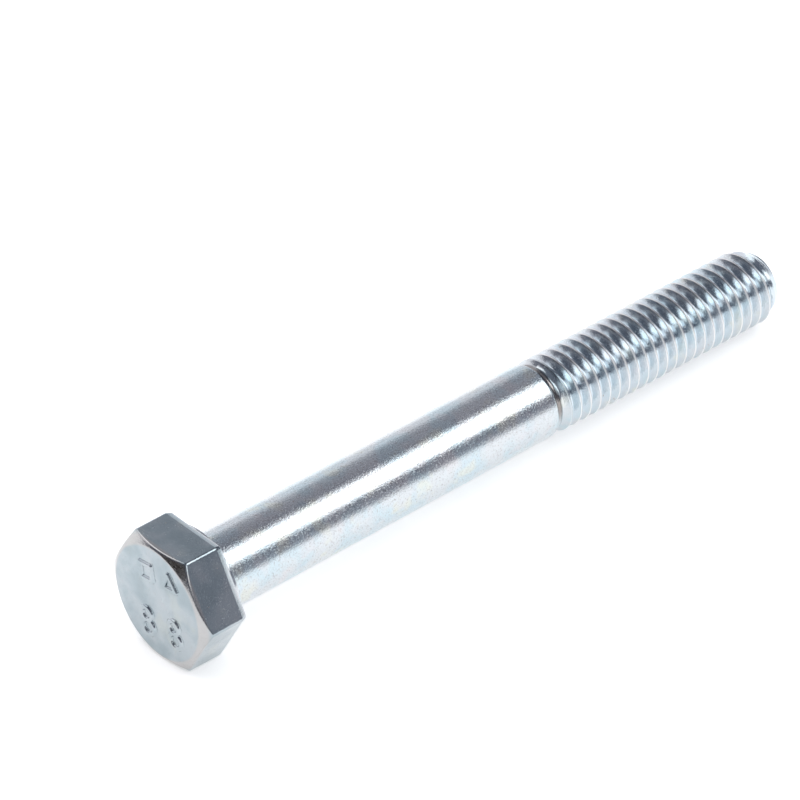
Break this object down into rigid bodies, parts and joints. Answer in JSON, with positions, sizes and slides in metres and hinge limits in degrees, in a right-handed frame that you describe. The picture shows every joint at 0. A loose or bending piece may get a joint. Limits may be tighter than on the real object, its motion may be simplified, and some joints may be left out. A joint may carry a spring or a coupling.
{
  "type": "hex bolt",
  "caption": "Partially threaded hexagon head bolt with a washer face, plain shank, rolled metric thread and chamfered tip.",
  "frame": {"origin": "centre of the ring-shaped face under the head that clamps the work, on the bolt's axis", "axes": "+X along the axis from the head to the tip, +Z along the outward normal of one flat of the head, so two corners of the head are at +Y and -Y"},
  "size_m": [0.0485, 0.009, 0.0078],
  "materials": {
    "zinc_plated_steel": "bright electroplated zinc with a clear blue passivation, semi-gloss, fine orange peel"
  },
  "bodies": {
    "root": {"hex_bolt": "zinc_plated_steel"}
  },
  "joints": []
}
